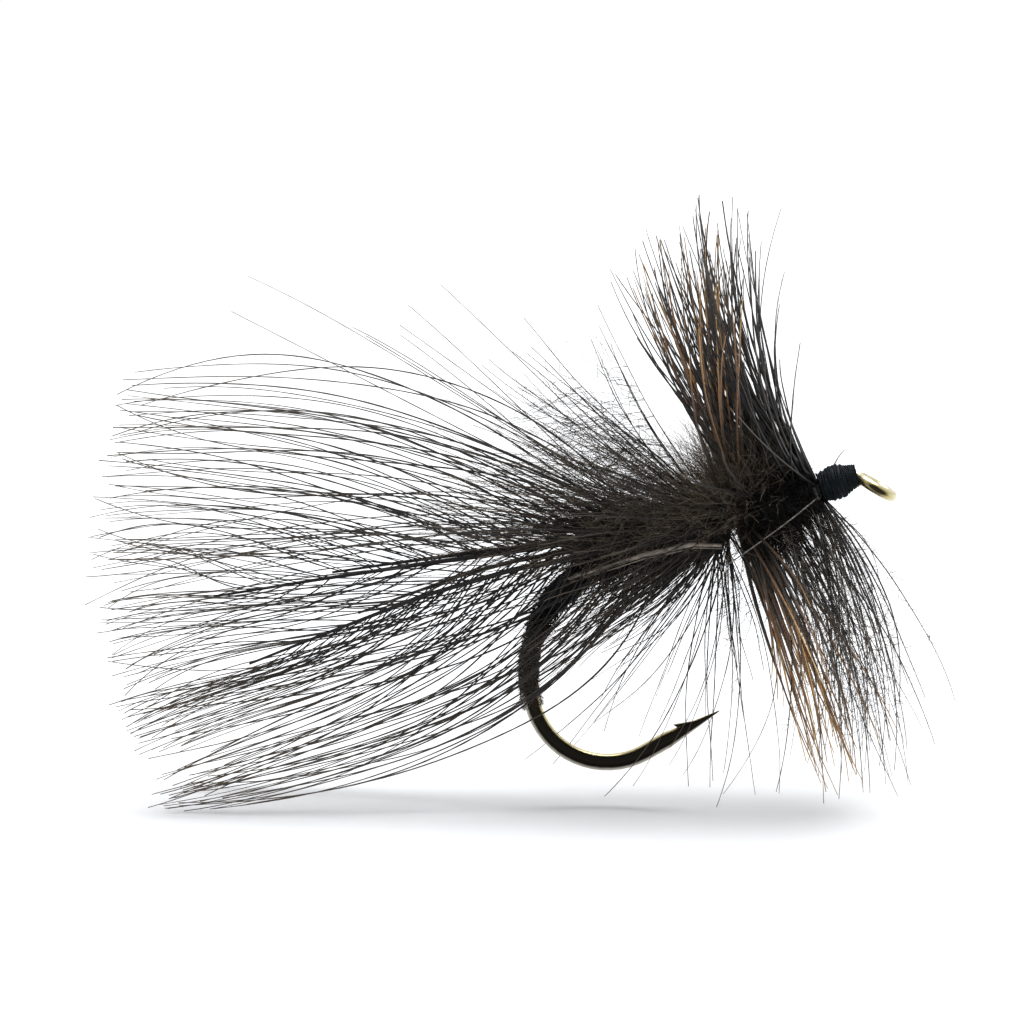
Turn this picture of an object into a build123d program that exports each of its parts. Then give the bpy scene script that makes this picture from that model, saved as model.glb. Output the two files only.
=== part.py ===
from build123d import *
import math
import os

# A dry fly: a down-eyed hook dressed with thread, fur, two hackle collars at the front, a swept
# hackle behind them and two pairs of long soft feathers that trail past the bend.
# Millimetres. +X points along the hook towards its eye, +Z is up, and +Y is the fly's left side.
# The fly stands as it does on a table, on its feather tips and its front hackle tips. The origin
# lies on that table, under the middle of the whole fly.

# ---- driving dimensions -------------------------------------------------------------------

# hook
SHANK_RISE = 20.0  # degrees that the shank climbs towards the eye
EYE_BASE_X = 12.85  # where the straight shank ends, at the front
EYE_BASE_Z = 12.55
SHANK_LENGTH = 9.5
WIRE_RADIUS = 0.32
UPPER_BEND_RADIUS = 4.5
UPPER_BEND_TURN = 90.0
LOWER_BEND_RADIUS = 2.9
LOWER_BEND_TURN = 100.0
POINT_LEG = 3.3
POINT_TAPER = 2.3  # the ground part of that leg
POINT_TIP_RADIUS = 0.02
BARB_FROM_TAPER = 0.5
BARB_LENGTH = 0.8
BARB_HEIGHT = 0.15
BARB_THICKNESS = 0.16

# eye of the hook
NECK_TURN = 50.0  # degrees that the eye is bent down from the shank
NECK_BEND_RADIUS = 0.5
NECK_RADIUS = 0.21
NECK_TAPER = 0.3
EYE_RING_RADIUS = 0.66
EYE_BORE_RADIUS = 0.47  # the flat land inside the ring
EYE_RING_ARC = 342.0  # its tag end stops just short of the neck

# thread and fur, as distances back from the eye base and radii about the shank
UNDERWRAP_RADIUS = 0.37
UNDERWRAP_BEND_TURN = 80.0
ABDOMEN_RADIUS = 0.5
ABDOMEN_START = 6.7
ABDOMEN_BEND_TURN = 42.0
HEAD_FRONT = -0.26
HEAD_REAR = 0.75
HEAD_RADIUS = 0.66
CEMENT_THICKNESS = 0.03
WHIP_TURNS = 3
WHIP_FRONT = -0.6
WHIP_PITCH = 0.11
THREAD_RADIUS = 0.05
THORAX_FRONT = 2.0
THORAX_REAR = 3.65
THORAX_RADIUS = 1.3
LASHING_FRONT = 5.6
LASHING_REAR = 6.35
LASHING_RADIUS = 0.85
DOWN_RADIUS = 1.35  # the down tied in over the lashing

# hackles: where each one's quill is wound, as a distance back from the eye base, and its turns
BLACK_HACKLE_FRONT = 0.9
BLACK_HACKLE_TURNS = 4
BROWN_HACKLE_FRONT = 3.72
BROWN_HACKLE_TURNS = 3
REAR_HACKLE_FRONT = 4.6
REAR_HACKLE_TURNS = 3
QUILL_RADIUS = 0.085
QUILL_PITCH = 0.25
BARB_ROOT_RADIUS = 0.06
BARB_TIP_RADIUS = 0.03

# long feathers
FEATHER_THICKNESS = 0.08
FEATHER_QUILL_RADIUS = 0.07
BUTT_REAR = 6.6

SHANK_COS = math.cos(math.radians(SHANK_RISE))
SHANK_SIN = math.sin(math.radians(SHANK_RISE))

# x along the shank towards the eye, y to the fly's left, z away from the hook's gape
SHANK = Plane(
    origin=(EYE_BASE_X, 0, EYE_BASE_Z),
    x_dir=(SHANK_COS, 0, SHANK_SIN),
    z_dir=(-SHANK_SIN, 0, SHANK_COS),
)


def polar(radius, degrees):
    """A point at this radius and angle, in two dimensions."""
    angle = math.radians(degrees)
    return radius * math.cos(angle), radius * math.sin(angle)


def save(node, solids):
    """Write a node's solids to its own file."""
    export_step(Compound(children=list(solids)), f"parts/{node}.step")


def about_shank(profile):
    """Revolve a list of (distance back, radius) corners about the shank's axis."""
    outline = Polyline(*[(-back, 0, radius) for back, radius in profile], close=True)
    return SHANK * revolve(make_face(outline), Axis.X)


# ---- hook ---------------------------------------------------------------------------------


def shank_path(front, bend_turn):
    """The wire's centreline in the (x, z) plane, from a distance back to a turn of the upper bend."""
    start = (EYE_BASE_X - front * SHANK_COS, EYE_BASE_Z - front * SHANK_SIN)
    corner = (EYE_BASE_X - SHANK_LENGTH * SHANK_COS, EYE_BASE_Z - SHANK_LENGTH * SHANK_SIN)
    backwards = (-SHANK_COS, -SHANK_SIN)
    return [
        Line(start, corner),
        JernArc(corner, backwards, UPPER_BEND_RADIUS, bend_turn),
    ]


def along_shank(section, front, bend_turn):
    """Sweep a flat section along the shank and part of the upper bend."""
    path = shank_path(front, bend_turn)
    start = Plane(origin=path[0] @ 0, z_dir=path[0] % 0)
    return Plane.XZ * sweep(start * section, path=Wire(path))


def bent_wire():
    """Shank, bend and the parallel part of the point leg."""
    path = shank_path(0, UPPER_BEND_TURN)
    lower = JernArc(path[-1] @ 1, path[-1] % 1, LOWER_BEND_RADIUS, LOWER_BEND_TURN)
    leg = Line(lower @ 1, lower @ 1 + (lower % 1) * (POINT_LEG - POINT_TAPER))
    path += [lower, leg]
    start = Plane(origin=path[0] @ 0, z_dir=path[0] % 0)
    return sweep(start * Circle(WIRE_RADIUS), path=Wire(path)), leg


def hook_point(leg):
    """The ground point and its barb, which is raised on the side that faces the shank."""
    tip_side = Plane(origin=leg @ 1, z_dir=leg % 1)
    taper = tip_side * Cone(
        WIRE_RADIUS, POINT_TIP_RADIUS, POINT_TAPER, align=(Align.CENTER, Align.CENTER, Align.MIN)
    )
    along = Plane(origin=leg @ 1, x_dir=leg % 1, z_dir=(0, 0, 1))
    slope = (WIRE_RADIUS - POINT_TIP_RADIUS) / POINT_TAPER
    heel = BARB_FROM_TAPER
    toe = heel + BARB_LENGTH
    wedge = Polyline(
        (heel + 0.2, 0),
        (heel, WIRE_RADIUS - slope * heel + BARB_HEIGHT),
        (toe, WIRE_RADIUS - slope * toe - 0.02),
        (toe, 0),
        close=True,
    )
    barb = extrude(make_face(wedge), BARB_THICKNESS / 2, both=True)
    return taper + along * barb


def hook_eye():
    """The neck that bends down from the shank, and the ring with its tag end just open."""
    front = Vector(EYE_BASE_X, EYE_BASE_Z)
    forwards = Vector(SHANK_COS, SHANK_SIN)
    taper = Plane(origin=front, z_dir=forwards) * Cone(
        WIRE_RADIUS, NECK_RADIUS, NECK_TAPER, align=(Align.CENTER, Align.CENTER, Align.MIN)
    )
    bend_start = front + forwards * NECK_TAPER
    bend = JernArc(bend_start, forwards, NECK_BEND_RADIUS, -NECK_TURN)
    neck = sweep(Plane(origin=bend @ 0, z_dir=bend % 0) * Circle(NECK_RADIUS), path=bend)
    centre = bend @ 1 + (bend % 1) * EYE_RING_RADIUS
    # the ring lies across the plane of the hook: x back to the neck, z along the ring's axis
    ring_plane = Plane(origin=centre, x_dir=(bend % 1) * -1, z_dir=(bend % 1).rotate(Axis.Z, 90))
    section = Pos(EYE_RING_RADIUS, 0, 0) * Rot(90, 0, 0) * Circle(NECK_RADIUS)
    ring = revolve(section, Axis.Z, EYE_RING_ARC)
    bore = Cylinder(EYE_BORE_RADIUS, 4 * NECK_RADIUS)
    return taper, neck, ring_plane * ring, ring_plane * bore


def hook():
    """One bent wire from the eye to the point."""
    wire, leg = bent_wire()
    taper, neck, ring, bore = hook_eye()
    solid = wire + hook_point(leg) + taper + neck + ring - bore
    return Plane.XZ * solid


# ---- thread and fur -----------------------------------------------------------------------


def thread_underwrap():
    """The bed of thread that everything is tied on."""
    section = Circle(UNDERWRAP_RADIUS) - Circle(WIRE_RADIUS)
    return along_shank(section, HEAD_REAR + 0.05, UNDERWRAP_BEND_TURN)


def abdomen_dubbing():
    """Fur spun round the rear of the shank and the top of the bend."""
    section = Circle(ABDOMEN_RADIUS) - Circle(UNDERWRAP_RADIUS)
    return along_shank(section, ABDOMEN_START, ABDOMEN_BEND_TURN)


def head_outline(outside):
    """The head's outer corners, from front to rear, grown outwards by this much."""
    middle = (HEAD_FRONT + HEAD_REAR) / 2
    return [
        (HEAD_FRONT, 0.46 + outside),
        (middle - 0.2, HEAD_RADIUS - 0.02 + outside),
        (middle + 0.1, HEAD_RADIUS + outside),
        (HEAD_REAR, 0.58 + outside),
    ]


def head_wraps():
    """The cone of thread that finishes the fly behind the eye."""
    return about_shank([(HEAD_FRONT, WIRE_RADIUS), *head_outline(0), (HEAD_REAR, WIRE_RADIUS)])


def head_cement():
    """A skin of clear varnish over the head."""
    return about_shank(head_outline(CEMENT_THICKNESS) + head_outline(0)[::-1])


def wound_turns(front, count, pitch, tube_radius, inner_radius):
    """Turns of thread or quill laid side by side round the shank."""
    turns = []
    for turn in range(count):
        back = front + tube_radius + turn * pitch
        across = SHANK * Pos(-back, 0, 0) * Rot(0, 90, 0)
        turns.append(across * Torus(inner_radius + tube_radius, tube_radius))
    return turns


def thorax_dubbing():
    """Fur spun thickly behind the front hackle."""
    middle = (THORAX_FRONT + THORAX_REAR) / 2
    return about_shank(
        [
            (THORAX_FRONT, UNDERWRAP_RADIUS),
            (THORAX_FRONT, 0.75),
            (middle - 0.3, THORAX_RADIUS - 0.08),
            (middle + 0.3, THORAX_RADIUS),
            (THORAX_REAR, 1.0),
            (THORAX_REAR, UNDERWRAP_RADIUS),
        ]
    )


def wing_lashing(butts):
    """The band of thread that holds the feathers' butts down, with the butts let into it."""
    band = about_shank(
        [
            (LASHING_FRONT, UNDERWRAP_RADIUS),
            (LASHING_FRONT, LASHING_RADIUS - 0.1),
            (LASHING_FRONT + 0.2, LASHING_RADIUS),
            (LASHING_REAR - 0.1, LASHING_RADIUS),
            (LASHING_REAR, LASHING_RADIUS - 0.08),
            (LASHING_REAR, UNDERWRAP_RADIUS),
        ]
    )
    for butt in butts:
        band = band - butt
    return band


def wing_base_down():
    """Loose down from the feathers' bases, over the lashing."""
    gap = 0.01
    return about_shank(
        [
            (LASHING_FRONT + 0.2, LASHING_RADIUS + gap),
            (LASHING_FRONT + 0.25, DOWN_RADIUS - 0.15),
            (LASHING_FRONT + 0.45, DOWN_RADIUS),
            (LASHING_REAR - 0.1, LASHING_RADIUS + gap),
        ]
    )


def straight_rod(start, end, radius):
    """A round rod between two points."""
    return Plane(origin=start, z_dir=end - start) * Cylinder(
        radius, (end - start).length, align=(Align.CENTER, Align.CENTER, Align.MIN)
    )


def bare_strand(points, tube_radius, bend_radius):
    """A round strand along straight runs and tangent arcs."""
    route = FilletPolyline(*points, radius=bend_radius)
    start = Plane(origin=route @ 0, z_dir=route % 0)
    return sweep(start * Circle(tube_radius), path=route)


# ---- hackles ------------------------------------------------------------------------------


def barb_rod(root, direction, length):
    """One stiff hackle fibre: a straight rod that thins to its tip."""
    return Plane(origin=root, z_dir=direction) * Cone(
        BARB_ROOT_RADIUS, BARB_TIP_RADIUS, length, align=(Align.CENTER, Align.CENTER, Align.MIN)
    )


def hackle_barbs(front, turns, fibres):
    """Fibres round a wound quill, as (degrees round from straight up, lean back, length) each.

    A fibre that would pass through the table is cut to end on it.
    """
    rods = []
    reach = UNDERWRAP_RADIUS + 2 * QUILL_RADIUS
    for index, (clock, lean, length) in enumerate(fibres):
        back = front + QUILL_RADIUS + (index % turns) * QUILL_PITCH
        up, side = polar(1, clock)
        outwards, rearwards = polar(1, lean)
        root = SHANK.from_local_coords(Vector(-back, reach * side, reach * up))
        tip = SHANK.from_local_coords(
            Vector(-back - rearwards, (reach + outwards) * side, (reach + outwards) * up)
        )
        direction = tip - root
        if direction.Z < 0:
            length = min(length, (root.Z - BARB_TIP_RADIUS) / -direction.Z)
        rods.append(barb_rod(root, direction, length))
    return rods


def wave(index, step):
    """A repeatable number from -1 to 1 that differs from one fibre to the next."""
    return math.sin(index * step)


def collar(count, first_clock, span, top_lean, bottom_lean, lean_change, length, length_change):
    """Fibres from one clock angle round a span of degrees, which lean back more below than above."""
    fibres = []
    for index in range(count):
        clock = first_clock + span * (index + 0.5) / count
        below = (1 - math.cos(math.radians(clock))) / 2
        lean = top_lean + (bottom_lean - top_lean) * below + lean_change * wave(index, 2.4)
        fibres.append((clock, lean, length + length_change * wave(index, 1.7)))
    return fibres


def wound_hackle(name, front, turns, fibres):
    """A hackle's bare quill, wound on over the thread bed, and the fibres that stand out from it."""
    quill = wound_turns(front, turns, QUILL_PITCH, QUILL_RADIUS, UNDERWRAP_RADIUS)
    save(f"{name}_hackle_quill", quill)
    save(f"{name}_hackle_barbs", hackle_barbs(front, turns, fibres))


def all_hackles():
    """Two collars that stand nearly upright, and one swept back and parted below for the gape."""
    black = collar(
        count=36, first_clock=0, span=360, top_lean=4, bottom_lean=9, lean_change=12,
        length=11.7, length_change=0.5,
    )
    brown = collar(
        count=28, first_clock=0, span=360, top_lean=2, bottom_lean=4, lean_change=6,
        length=10.6, length_change=0.9,
    )
    rear = collar(
        count=26, first_clock=226, span=268, top_lean=22, bottom_lean=50, lean_change=5,
        length=10.6, length_change=1.6,
    )
    wound_hackle("black", BLACK_HACKLE_FRONT, BLACK_HACKLE_TURNS, black)
    wound_hackle("brown", BROWN_HACKLE_FRONT, BROWN_HACKLE_TURNS, brown)
    wound_hackle("rear", REAR_HACKLE_FRONT, REAR_HACKLE_TURNS, rear)


# ---- long feathers ------------------------------------------------------------------------

# Each feather lies in its own upright plane, which leaves the shank here and splays outwards.
WING_ROOT_X = 5.25

# Edges as points (distance back from the wing's root, height above the table): the top edge, the
# ragged rear edge and the bottom edge, each a smooth curve that starts where the last one ends.
UPPER_EDGES = [
    [(1.2, 11.0), (4.6, 13.5), (9.6, 15.4), (15.2, 16.3), (20.2, 16.2)],
    [(20.2, 16.2), (21.1, 12.0), (20.8, 8.0)],
    [(20.8, 8.0), (14.0, 7.8), (7.0, 8.8), (1.2, 11.0)],
]
LOWER_EDGES = [
    [(1.4, 9.9), (8.0, 9.6), (15.0, 8.6), (21.2, 7.6)],
    [(21.2, 7.6), (20.3, 3.6), (17.8, 0.0)],
    [(17.8, 0.0), (12.8, 0.4), (8.2, 1.5), (5.0, 3.6), (3.0, 6.5), (1.4, 9.9)],
]
UPPER_BUTT = (0.5, 0.26)  # above and beside the shank's axis
LOWER_BUTT = (0.1, 0.72)
UPPER_QUILL = [(4.9, 9.8), (8.2, 9.35), (12.2, 8.75), (16.2, 8.1)]
LOWER_QUILL = [(4.9, 9.2), (8.2, 8.25), (12.0, 6.8), (14.8, 5.7)]
TRIMMED_SHARE = 0.62  # how much of their quills the left feathers keep

# Two loose strands on the fly's right side.
TRIMMED_QUILL = [(2.5, -0.75, 8.8), (5.3, -0.9, 9.8), (7.2, -1.0, 10.25), (8.3, -1.0, 10.15)]
THREAD_END = [(11.9, -0.72, 11.95), (9.9, -1.5, 10.6), (8.6, -1.6, 9.7), (8.2, -1.5, 8.9)]
THREAD_END_RADIUS = 0.035


def feather(edges, quill, side, butt, offset, splay, quill_share):
    """One long feather: its flat vane, and its quill from the tied-down butt outwards.

    side is -1 on the fly's right and +1 on its left, butt is the tied-down end's height above and
    distance beside the shank's axis, offset is the vane's distance from the middle at its root,
    and quill_share is how much of the quill's length is left on.
    """
    splay_cos, splay_sin = polar(1, splay)
    wing = Plane(
        origin=(WING_ROOT_X, side * offset, 0),
        x_dir=(-splay_cos, side * splay_sin, 0),
        z_dir=(splay_sin, side * splay_cos, 0),
    )
    # that plane's y runs up on the left and down on the right, so heights change sign
    up = 1 if wing.y_dir.Z > 0 else -1
    curves = [Spline(*[(back, up * height) for back, height in edge]) for edge in edges]
    vane = wing * extrude(make_face(curves), FEATHER_THICKNESS / 2, both=True)
    outside = FEATHER_THICKNESS / 2 + FEATHER_QUILL_RADIUS + 0.01
    butt_up, butt_side = butt
    butt_front = SHANK.from_local_coords(Vector(-LASHING_FRONT, side * butt_side, butt_up))
    butt_rear = SHANK.from_local_coords(Vector(-BUTT_REAR, side * butt_side, butt_up))
    kept = [quill[0]]
    root_back, root_height = quill[0]
    for back, height in quill[1:]:
        short_back = root_back + (back - root_back) * quill_share
        kept.append((short_back, root_height + (height - root_height) * quill_share))
    on_vane = [wing.from_local_coords(Vector(back, up * height, outside)) for back, height in kept]
    stem = bare_strand([butt_front, butt_rear, *on_vane], FEATHER_QUILL_RADIUS, 0.8)
    return vane, stem, straight_rod(butt_front, butt_rear, FEATHER_QUILL_RADIUS)


def all_feathers():
    """Two pairs: the upper feathers lie inside the lower ones."""
    made = {}
    for name, side, quill_share in (("right", -1, 1.0), ("left", 1, TRIMMED_SHARE)):
        made[f"{name}_upper_feather"] = feather(
            UPPER_EDGES, UPPER_QUILL, side, UPPER_BUTT, 0.14, 3.5, quill_share
        )
        made[f"{name}_lower_feather"] = feather(
            LOWER_EDGES, LOWER_QUILL, side, LOWER_BUTT, 0.65, 6.0, quill_share
        )
    return made


# ---- the whole fly ------------------------------------------------------------------------


def build():
    """Make every piece and write it."""
    os.makedirs("parts", exist_ok=True)
    save("hook", [hook()])
    save("thread_underwrap", [thread_underwrap()])
    save("abdomen_dubbing", [abdomen_dubbing()])
    save("thorax_dubbing", [thorax_dubbing()])
    save("head_wraps", [head_wraps()])
    save("head_cement", [head_cement()])
    whip_finish = wound_turns(WHIP_FRONT, WHIP_TURNS, WHIP_PITCH, THREAD_RADIUS, WIRE_RADIUS)
    save("whip_finish", whip_finish)

    feathers = all_feathers()
    for name, (vane, quill, _) in feathers.items():
        save(f"{name}_vane", [vane])
        save(f"{name}_quill", [quill])
    save("wing_lashing", [wing_lashing([butt for _, _, butt in feathers.values()])])
    save("wing_base_down", [wing_base_down()])
    all_hackles()
    save("trimmed_quill_butt", [bare_strand(TRIMMED_QUILL, FEATHER_QUILL_RADIUS, 1.5)])
    save("loose_thread", [bare_strand(THREAD_END, THREAD_END_RADIUS, 0.6)])


build()
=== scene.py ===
import math

import bpy
import numpy as np
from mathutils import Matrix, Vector


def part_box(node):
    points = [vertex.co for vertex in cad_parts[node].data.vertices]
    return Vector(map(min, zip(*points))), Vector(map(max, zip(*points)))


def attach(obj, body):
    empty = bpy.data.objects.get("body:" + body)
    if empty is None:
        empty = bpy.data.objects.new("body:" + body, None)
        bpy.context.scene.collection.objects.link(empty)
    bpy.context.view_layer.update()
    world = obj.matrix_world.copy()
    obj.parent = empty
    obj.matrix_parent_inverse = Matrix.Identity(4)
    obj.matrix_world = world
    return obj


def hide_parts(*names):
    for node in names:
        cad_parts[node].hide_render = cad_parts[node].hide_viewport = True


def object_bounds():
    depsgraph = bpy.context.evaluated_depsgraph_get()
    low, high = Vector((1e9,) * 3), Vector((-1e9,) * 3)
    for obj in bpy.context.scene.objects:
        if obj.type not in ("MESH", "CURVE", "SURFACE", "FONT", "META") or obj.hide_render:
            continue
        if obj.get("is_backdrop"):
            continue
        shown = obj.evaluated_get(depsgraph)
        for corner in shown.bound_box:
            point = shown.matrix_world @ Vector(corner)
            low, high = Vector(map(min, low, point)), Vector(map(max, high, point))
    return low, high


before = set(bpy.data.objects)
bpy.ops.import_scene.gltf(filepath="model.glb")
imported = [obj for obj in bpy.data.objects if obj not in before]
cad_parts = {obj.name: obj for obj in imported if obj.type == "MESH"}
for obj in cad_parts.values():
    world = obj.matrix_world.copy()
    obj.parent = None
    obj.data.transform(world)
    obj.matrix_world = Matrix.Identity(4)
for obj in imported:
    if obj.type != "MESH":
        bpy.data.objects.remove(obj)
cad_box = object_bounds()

# Lengths are in millimetres until a mesh is made, because the fly is small.
MM = 0.001
BODY = "root"


# ---- places taken from the frame -------------------------


def node_box(node):
    """Lowest and highest corners of a CAD node, in millimetres."""
    low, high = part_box(node)
    return np.array(low) / MM, np.array(high) / MM


def node_middle(node):
    """The middle of a CAD node's box."""
    low, high = node_box(node)
    return (low + high) / 2


def unit(vectors):
    """Vectors scaled to a length of one, along their last axis."""
    vectors = np.asarray(vectors, float)
    return vectors / np.maximum(np.linalg.norm(vectors, axis=-1, keepdims=True), 1e-12)


def node_points(node):
    """Every vertex of a CAD node, in millimetres."""
    mesh = bpy.data.objects[node].data
    points = np.empty(len(mesh.vertices) * 3)
    mesh.vertices.foreach_get("co", points)
    return points.reshape(-1, 3) / MM


# The shank's axis runs through the middles of the wound quills.
FRONT_HACKLE = node_middle("black_hackle_quill")
REAR_HACKLE = node_middle("rear_hackle_quill")
FORWARD = unit(FRONT_HACKLE - REAR_HACKLE)
LEFT = np.array([0.0, 1.0, 0.0])
UP = unit(np.cross(FORWARD, LEFT))


def bend_of_wire():
    """Where the bend begins behind the front hackle, and its radius, from the CAD thread bed."""
    points = node_points("thread_underwrap") - FRONT_HACKLE
    # the bed's flanks lie as high as the middle of the wire
    aside = np.abs(points[:, 1])
    points = points[aside > 0.9 * aside.max()]
    forward, up = points @ FORWARD, points @ UP
    well_below_shank = up < -0.5
    forward, up = forward[well_below_shank], up[well_below_shank]
    best = None
    for start in np.linspace(6, 10, 401):
        # a circle that touches the shank at start: (forward + start)^2 + up^2 + 2 radius up = 0
        radius = -np.mean(((forward + start) ** 2 + up**2) / (2 * up))
        misfit = np.mean((np.hypot(forward + start, up + radius) - radius) ** 2)
        if best is None or misfit < best[0]:
            best = misfit, start, radius
    return best[1:]


BEND_FROM, BEND_RADIUS = bend_of_wire()


def on_wire(back, clock=0.0, radius=0.0):
    """Points round the wire, by distance back from the front hackle, degrees round and radius."""
    back, clock, radius = np.broadcast_arrays(np.asarray(back, float), np.radians(clock), radius)
    centre, _, up = wire_frame(back)
    return centre + radius[..., None] * (np.cos(clock)[..., None] * up + np.sin(clock)[..., None] * LEFT)


def wire_frame(back):
    """The wire's middle, its direction towards the eye and its outward direction."""
    turn = (np.maximum(back - BEND_FROM, 0) / BEND_RADIUS)[..., None]
    straight = np.minimum(back, BEND_FROM)[..., None]
    sin, cos = np.sin(turn), np.cos(turn)
    centre = FRONT_HACKLE - FORWARD * straight - BEND_RADIUS * (FORWARD * sin + UP * (1 - cos))
    return centre, FORWARD * cos + UP * sin, UP * cos - FORWARD * sin


def from_wire(clock, lean, back=0.0):
    """Unit directions: clock is degrees round from UP towards LEFT, lean is degrees rearwards."""
    clock, lean, back = np.broadcast_arrays(np.radians(clock), np.radians(lean), np.asarray(back, float))
    _, forward, up = wire_frame(back)
    out = np.cos(clock)[..., None] * up + np.sin(clock)[..., None] * LEFT
    return np.cos(lean)[..., None] * out - np.sin(lean)[..., None] * forward


OUTLINE_STEP = 0.04


def outline(node):
    """How far back along the wire a node's corners lie, and the node's outer radius there."""
    points = node_points(node) - FRONT_HACKLE
    forward, up = points @ FORWARD, points @ UP
    turn = np.arctan2(-(forward + BEND_FROM), up + BEND_RADIUS)
    on_bend = turn > 0
    back = np.where(on_bend, BEND_FROM + turn * BEND_RADIUS, -forward)
    height = np.where(on_bend, np.hypot(forward + BEND_FROM, up + BEND_RADIUS) - BEND_RADIUS, up)
    radius = np.hypot(height, points[:, 1])
    places = np.round(back / OUTLINE_STEP)
    levels = np.unique(places)
    return levels * OUTLINE_STEP, np.array([radius[places == level].max() for level in levels])


# ---- meshes ----------------------------------------------


class Strands:
    """Collects closed tapered tubes and spikes, and makes them one mesh.

    Each strand has its own cell across U, and V runs along it, so a material can follow it.
    """

    def __init__(self):
        self.used = 0
        self.base = 0
        self.points = []
        self.uvs = []
        self.quads = []
        self.triangles = []

    def add(self, points, uvs, quads, triangles):
        self.points.append(points)
        self.uvs.append(uvs)
        self.quads.append(quads + self.base)
        self.triangles.append(triangles + self.base)
        self.base += len(points)

    def tubes(self, paths, radii, sides=4, v_range=(0.0, 1.0)):
        """Closed tubes along paths (strand, ring, 3); radii are for each strand, ring and side."""
        paths = np.asarray(paths, float)
        count, rings, _ = paths.shape
        radii = np.asarray(radii, float)
        if radii.ndim == 2:
            radii = radii[:, :, None]
        radii = np.broadcast_to(radii, (count, rings, sides))
        across, other = frames_along(paths)
        turn = 2 * np.pi * np.arange(sides) / sides
        cos, sin = np.cos(turn)[:, None], np.sin(turn)[:, None]
        ring = cos * across[:, :, None, :] + sin * other[:, :, None, :]
        points = (paths[:, :, None, :] + radii[..., None] * ring).reshape(-1, 3)
        u = (self.used + np.arange(count))[:, None, None] + 0.1 + 0.8 * np.arange(sides) / sides
        v = np.linspace(*v_range, rings)[None, :, None]
        uvs = np.stack(np.broadcast_arrays(u, np.broadcast_to(v, (count, rings, sides))), -1)
        first = (np.arange(count) * rings * sides)[:, None, None]
        low = first + (np.arange(rings - 1) * sides)[None, :, None]
        side = np.arange(sides)[None, None, :]
        following = (side + 1) % sides
        corners = (low + side, low + following, low + sides + following, low + sides + side)
        quads = np.stack(np.broadcast_arrays(*corners), -1)
        ends = []
        first = first.reshape(-1)
        last = first + (rings - 1) * sides
        for corner in range(1, sides - 1):
            ends.append(np.stack([first, first + corner + 1, first + corner], -1))
            ends.append(np.stack([last, last + corner, last + corner + 1], -1))
        self.add(points, uvs.reshape(-1, 2), quads.reshape(-1, 4), np.concatenate(ends))
        first_cell = self.used
        self.used += count
        return first_cell

    def spikes(self, roots, tips, radius, cells, v):
        """Three-sided spikes from roots to tips, which take the colour of a strand's cell at v."""
        roots, tips = roots.reshape(-1, 3), tips.reshape(-1, 3)
        cells, v = cells.reshape(-1), v.reshape(-1)
        axis = unit(tips - roots)
        helper = np.where(np.abs(axis[:, 1:2]) < 0.9, [[0.0, 1.0, 0.0]], [[0.0, 0.0, 1.0]])
        across = unit(np.cross(axis, helper))
        other = np.cross(axis, across)
        corners = []
        for angle in (0, 2 * math.pi / 3, 4 * math.pi / 3):
            corners.append(roots + radius * (math.cos(angle) * across + math.sin(angle) * other))
        points = np.stack([*corners, tips], 1).reshape(-1, 3)
        u = cells[:, None] + np.array([0.2, 0.5, 0.8, 0.5])
        height = v[:, None] + np.array([0.0, 0.0, 0.0, 0.004])
        base = 4 * np.arange(len(roots))[:, None]
        faces = ([0, 2, 1], [0, 1, 3], [1, 2, 3], [2, 0, 3])
        triangles = np.concatenate([base + np.array(face) for face in faces])
        self.add(points, np.stack([u, height], -1).reshape(-1, 2), np.empty((0, 4), int), triangles)

    def piece(self, name, look, slot, *nodes):
        """One object, which rides with the fly and stands for these CAD nodes."""
        points, quads = np.concatenate(self.points), np.concatenate(self.quads)
        uvs = np.concatenate(self.uvs) / [self.used, 1]
        mesh = mesh_from(name, points, quads, np.concatenate(self.triangles), uvs)
        mesh.materials.append(look(self.used))
        piece = placed(name, mesh)
        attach(piece, BODY)
        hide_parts(*nodes)
        return piece


def placed(name, data):
    """A new object in the scene."""
    thing = bpy.data.objects.new(name, data)
    bpy.context.scene.collection.objects.link(thing)
    return thing


def frames_along(paths):
    """Two directions across each path, at right angles."""
    tangents = unit(np.gradient(paths, axis=1))
    chord = unit(paths[:, -1] - paths[:, 0])
    helper = np.where(np.abs(chord[:, 1:2]) < 0.9, [[0.0, 1.0, 0.0]], [[0.0, 0.0, 1.0]])
    across = unit(np.cross(tangents, helper[:, None, :]))
    return across, np.cross(tangents, across)


def mesh_from(name, points, quads, triangles, uvs):
    """A smooth mesh from points in millimetres, with a UV layer for its colours."""
    mesh = bpy.data.meshes.new(name)
    loops = np.concatenate([quads.reshape(-1), triangles.reshape(-1)]).astype(np.int32)
    sizes = np.concatenate([np.full(len(quads), 4), np.full(len(triangles), 3)]).astype(np.int32)
    mesh.vertices.add(len(points))
    mesh.vertices.foreach_set("co", (points * MM).astype(np.float32).reshape(-1))
    mesh.loops.add(len(loops))
    mesh.loops.foreach_set("vertex_index", loops)
    mesh.polygons.add(len(sizes))
    mesh.polygons.foreach_set("loop_start", np.cumsum(sizes, dtype=np.int32) - sizes)
    mesh.polygons.foreach_set("loop_total", sizes)
    mesh.update(calc_edges=True)
    layer = mesh.uv_layers.new(name="OFBake")
    layer.data.foreach_set("uv", uvs[loops].astype(np.float32).reshape(-1))
    mesh.polygons.foreach_set("use_smooth", np.ones(len(sizes), bool))
    return mesh


# ---- fibre shapes ----------------------------------------

TABLE_GAP = 0.03


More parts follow.
